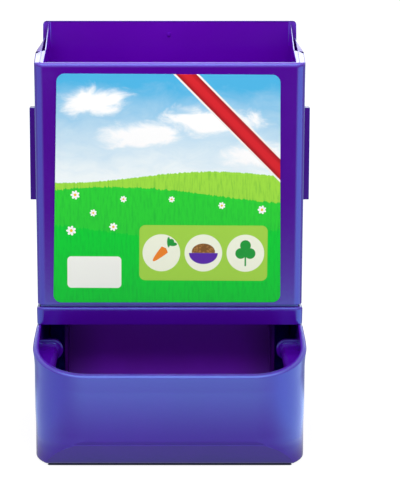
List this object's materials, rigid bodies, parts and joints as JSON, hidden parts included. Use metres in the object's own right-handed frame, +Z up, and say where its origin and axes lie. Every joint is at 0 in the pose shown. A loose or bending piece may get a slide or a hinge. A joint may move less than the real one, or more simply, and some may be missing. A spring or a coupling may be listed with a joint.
{
  "type": "small animal gravity feeder",
  "caption": "Violet plastic gravity bin feeder for rabbits and guinea pigs: open bin over a trough, sifter floor, and a wire cage bracket that slides off.",
  "frame": {"origin": "on the ground, under the middle of the part's bounding box", "axes": "+Z up, the trough faces -Y, the cage bracket faces +Y, +X to the right seen from the front"},
  "size_m": [0.148, 0.1454, 0.2107],
  "materials": {
    "violet_bin": "gloss",
    "violet_base": "gloss",
    "violet_inner": "gloss",
    "printed_film": "printed film, gloss",
    "zinc_steel": "zinc plated"
  },
  "bodies": {
    "feeder": {"hopper_shell": "violet_bin", "front_label": "printed_film", "trough_base": "violet_base", "feed_ramp": "violet_inner", "collar_screw_left": "zinc_steel", "collar_screw_right": "zinc_steel"},
    "sifter": {"sifter_floor": "violet_inner"},
    "bracket": {"mounting_bracket": "violet_bin", "bracket_bolt_left": "zinc_steel", "bracket_bolt_right": "zinc_steel"},
    "clamp": {"clamp_plate": "violet_bin", "washer_left": "zinc_steel", "washer_right": "zinc_steel"},
    "nut_left": {"wing_nut_left": "zinc_steel"},
    "nut_right": {"wing_nut_right": "zinc_steel"}
  },
  "joints": [
    {"name": "bracket_slide", "type": "slide", "parent": "feeder", "child": "bracket", "axis": [0, 0, -1], "range_m": [0, 0.048]},
    {"name": "sifter_lift", "type": "slide", "parent": "feeder", "child": "sifter", "axis": [0, 0, 1], "range_m": [0, 0.05]},
    {"name": "clamp_slide", "type": "slide", "parent": "bracket", "child": "clamp", "axis": [0, 1, 0], "range_m": [0, 0.0048]},
    {"name": "wing_nut_left_turn", "type": "hinge", "parent": "clamp", "child": "nut_left", "pos_m": [-0.036, 0.0597, 0.1414], "axis": [0, 1, 0], "range_deg": [0, 2160]},
    {"name": "wing_nut_right_turn", "type": "hinge", "parent": "clamp", "child": "nut_right", "pos_m": [0.036, 0.0597, 0.1414], "axis": [0, 1, 0], "range_deg": [0, 2160]}
  ],
  "couplings": [
    {"joint": "wing_nut_left_turn", "follows": "clamp_slide", "rad_per_m": 7853.5},
    {"joint": "wing_nut_right_turn", "follows": "clamp_slide", "rad_per_m": 7853.5}
  ]
}
